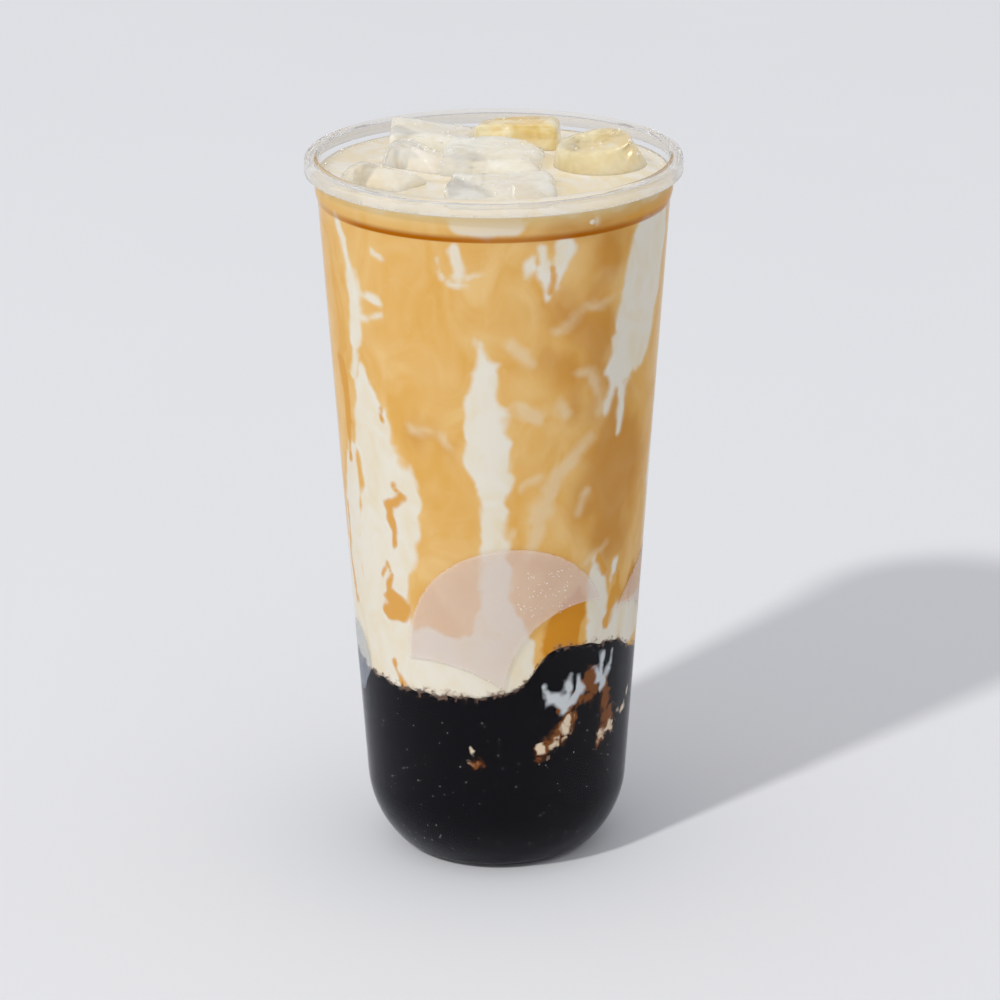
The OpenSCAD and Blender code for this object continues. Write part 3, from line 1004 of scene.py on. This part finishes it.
tea.data.materials.append(marbled_tea)
tea.data.materials.append(open_tea)
deepest_ice = 25
for face in tea.data.polygons:
    in_open = face.center.z > (drink_z - deepest_ice) * MM
    at_wall = face.center.to_2d().length > (radius_at(face.center.z / MM) - 0.3) * MM
    face.material_index = int(in_open and not at_wall)
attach(tea, "root")
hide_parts("milk_tea")

# ----------------------------------------
# Beads: small air bubbles at the rim of the drink and against the wall, dew on the print and
# drops of melt on the ice; the dew and the drops are near white and mostly opaque, so they are
# painted glints. Each kind is scattered over a patch of the surface it sits on.
# ----------------------------------------
scatter = bpy.data.node_groups.new("scattered_beads", "GeometryNodeTree")
for name, kind in (("Patch", "NodeSocketGeometry"), ("Density", "NodeSocketFloat"),
                   ("Seed", "NodeSocketInt"), ("Smallest", "NodeSocketFloat"),
                   ("Largest", "NodeSocketFloat"), ("Finish", "NodeSocketMaterial")):
    scatter.interface.new_socket(name, in_out="INPUT", socket_type=kind)
scatter.interface.new_socket("Beads", in_out="OUTPUT", socket_type="NodeSocketGeometry")
given = add(scatter, "NodeGroupInput").outputs
places = add(scatter, "GeometryNodeDistributePointsOnFaces",
             {"Mesh": given["Patch"], "Density": given["Density"], "Seed": given["Seed"]})
ball = add(scatter, "GeometryNodeMeshIcoSphere", {"Radius": 1.0, "Subdivisions": 2})
bead_size = add(scatter, "FunctionNodeRandomValue",
                {2: given["Smallest"], 3: given["Largest"], 8: given["Seed"]})
beads = add(scatter, "GeometryNodeInstanceOnPoints",
            {"Points": places.outputs["Points"], "Instance": ball.outputs["Mesh"],
             "Scale": bead_size.outputs[1]})
rounded = add(scatter, "GeometryNodeSetShadeSmooth", {0: beads.outputs[0]})
real = add(scatter, "GeometryNodeRealizeInstances", {0: rounded.outputs[0]})
finished = add(scatter, "GeometryNodeSetMaterial",
               {"Geometry": real.outputs[0], "Material": given["Finish"]})
add(scatter, "NodeGroupOutput", {0: finished.outputs[0]})


def bead_piece(name, points, faces, count, radii, seed, finish):
    """About count beads over a patch of surface given in metres; radii in mm."""
    carrier = new_piece(name, points, faces)
    area = sum(face.area for face in carrier.data.polygons)
    maker = carrier.modifiers.new("scatter", "NODES")
    maker.node_group = scatter
    wanted = {"Density": count / area, "Seed": seed, "Smallest": radii[0] * MM,
              "Largest": radii[1] * MM, "Finish": finish}
    for socket in scatter.interface.items_tree:
        if socket.name in wanted:
            maker[socket.identifier] = wanted[socket.name]
    graph = bpy.context.evaluated_depsgraph_get()
    baked = bpy.data.meshes.new_from_object(carrier.evaluated_get(graph))
    carrier.modifiers.clear()
    carrier.data = baked
    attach(carrier, "root")


def wall_patch(first, last, low, high, stand_off):
    """Patch of the wall between two angles, in degrees, and two heights, in mm."""
    across = np.radians(np.linspace(first, last, 30)) * unrolled_r
    grid = np.stack([wall_place(across, np.full(30, z), stand_off)
                     for z in np.linspace(low, high, 12)])
    faces = [(i * 30 + j, i * 30 + j + 1, i * 30 + j + 31, i * 30 + j + 30)
             for i in range(11) for j in range(29)]
    return grid.reshape(-1, 3), faces


def bead_finish(name, hex_colour, clear, roughness):
    """Air or water bead: glossy, with a slight unevenness in its colour from bead to bead."""
    finish, tree, spot = new_finish(name)
    tone = mottled(tree, spot, 400.0, 2.0, hex_colour, "#fbfaf6")
    bead = add(tree, "ShaderNodeBsdfPrincipled",
               {"Base Color": tone, "Roughness": roughness, "IOR": 1.33,
                "Transmission Weight": clear})
    let_light_through(tree, bead.outputs[0], "#f4f4f4")
    return finish


foam = bead_finish("milky_foam_bubble", "#efe6d0", 0.5, 0.08)
trapped_air = bead_finish("air_trapped_at_plastic", "#d8d4cf", 0.2, 0.2)
# Painted sparkle: the dew is whitish and mostly opaque, so the beads show as bright specks on the
# print.
sparkle_white_dew = bead_finish("dew_painted_white_as_sparkle", "#f6eee8", 0.3, 0.1)
# Painted glints: the melt drops are near white and mostly opaque, so they show as white glints on the
# ice.
glint_white_melt_drops = bead_finish("melt_drop_painted_white_as_glint", "#fffdf8", 0.3, 0.03)

rim_turns = np.linspace(0, 2 * math.pi, 121)[:-1]
rim = [(r * math.sin(t) * MM, -r * math.cos(t) * MM, (drink_z + 0.35) * MM)
       for r in (top_r - 1.3, top_r - 0.4) for t in rim_turns]
rim_faces = [(j, (j + 1) % 120, 120 + (j + 1) % 120, 120 + j) for j in range(120)]
bead_piece("foam_at_rim", rim, rim_faces, 150, (0.15, 0.42), 3, foam)

# Whitish dew beads over the print: painted sparkle.
points, faces = wall_patch(8, 30, 70, 82, 0.08)
bead_piece("dew_painted_as_sparkle_on_print", points, faces, 80, (0.08, 0.16), 4, sparkle_white_dew)
points, faces = wall_patch(-62, 62, 6, 46, 0.1 - wall_t)
bead_piece("bubbles_in_black_layer", points, faces, 110, (0.06, 0.13), 5, trapped_air)
points, faces = wall_patch(32, 34, 167.6, 168.6, -0.6)
bead_piece("bubble_in_neck", points, faces, 1.6, (0.6, 0.7), 1, foam)

# White drops on the ice tops, where wet highlights would be: painted glints.
wet_points = []
wet_faces = []
for piece in ice_pieces:
    for face in piece.data.polygons:
        if face.center.z > (drink_z + 1) * MM and face.normal.z > 0.3:
            start = len(wet_points)
            wet_points += [piece.data.vertices[k].co[:] for k in face.vertices]
            wet_faces.append(list(range(start, len(wet_points))))
bead_piece("melt_drops_painted_as_glints_on_ice", wet_points, wet_faces, 110, (0.12, 0.4), 6, glint_white_melt_drops)
